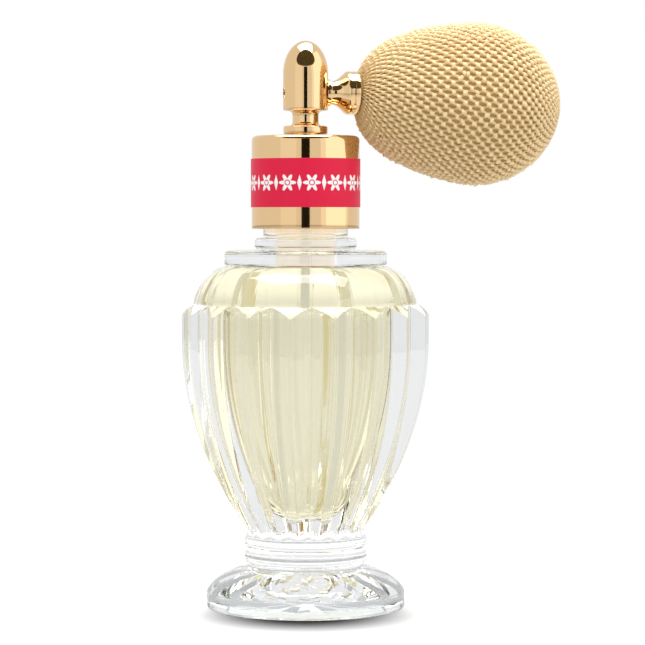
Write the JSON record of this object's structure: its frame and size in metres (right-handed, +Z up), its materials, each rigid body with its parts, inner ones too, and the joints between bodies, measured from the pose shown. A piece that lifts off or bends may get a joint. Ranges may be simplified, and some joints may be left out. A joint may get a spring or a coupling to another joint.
{
  "type": "perfume atomiser",
  "caption": "Ribbed urn-shaped clear glass bottle on a turned foot, with a gold screw collar, a red band, a bullet-shaped spray head and a net-covered squeeze bulb.",
  "frame": {"origin": "centre of the foot's resting plane, on the bottle's axis", "axes": "+Z up along the bottle's axis, +X from the head out along the bulb"},
  "size_m": [0.0824, 0.0532, 0.1252],
  "materials": {
    "clear_glass": "polished clear",
    "perfume": "pale yellow liquid",
    "gold": "mirror-polished pale gold plating",
    "plain_brass": "turned",
    "steel": "bright spring steel",
    "red_label": "satin crimson with white printing",
    "white_plastic": "moulded",
    "clear_plastic": "clear tube",
    "black_rubber": "moulded",
    "tan_rubber": "matte tan",
    "gold_thread": "shiny gold thread"
  },
  "bodies": {
    "bottle_body": {"bottle": "clear_glass", "perfume": "perfume"},
    "closure": {"plug": "white_plastic", "neck_gasket": "black_rubber"},
    "collar": {"collar_shell": "gold", "collar_insert": "white_plastic", "label_band": "red_label"},
    "spray_head": {"stem": "gold", "stem_seal": "black_rubber", "stem_retainer": "steel", "head": "gold", "nozzle": "plain_brass", "jet": "plain_brass", "dip_tube": "clear_plastic", "funnel_washer": "gold", "funnel": "gold", "barb": "plain_brass", "bulb": "tan_rubber", "bulb_net": "gold_thread", "neck_binding": "steel"},
    "outlet_valve": {"outlet_flap": "black_rubber"},
    "bulb_end": {"net_tie": "gold_thread", "intake_body": "plain_brass"},
    "intake_valve": {"intake_flap": "black_rubber"}
  },
  "joints": [
    {"name": "head_lift", "type": "slide", "parent": "bottle_body", "child": "closure", "axis": [0, 0, 1], "range_m": [0, 0.08]},
    {"name": "collar_turn", "type": "hinge", "parent": "closure", "child": "collar", "pos_m": [0, 0, 0.09], "axis": [0, 0, 1], "continuous": true},
    {"name": "head_swivel", "type": "hinge", "parent": "closure", "child": "spray_head", "pos_m": [0, 0, 0.1], "axis": [0, 0, 1], "continuous": true},
    {"name": "outlet_valve_lift", "type": "slide", "parent": "spray_head", "child": "outlet_valve", "axis": [1, 0, 0], "range_m": [0, 0.0006]},
    {"name": "bulb_squeeze", "type": "slide", "parent": "spray_head", "child": "bulb_end", "axis": [-0.9969, 0, 0.0785], "range_m": [0, 0.012], "stiffness_N_per_m": 250, "deforming": ["bulb", "bulb_net"]},
    {"name": "intake_valve_lift", "type": "slide", "parent": "bulb_end", "child": "intake_valve", "axis": [-0.9969, 0, 0.0785], "range_m": [0, 0.0006]}
  ],
  "couplings": [
    {"joint": "collar_turn", "follows": "head_lift", "rad_per_m": 1975.8}
  ]
}
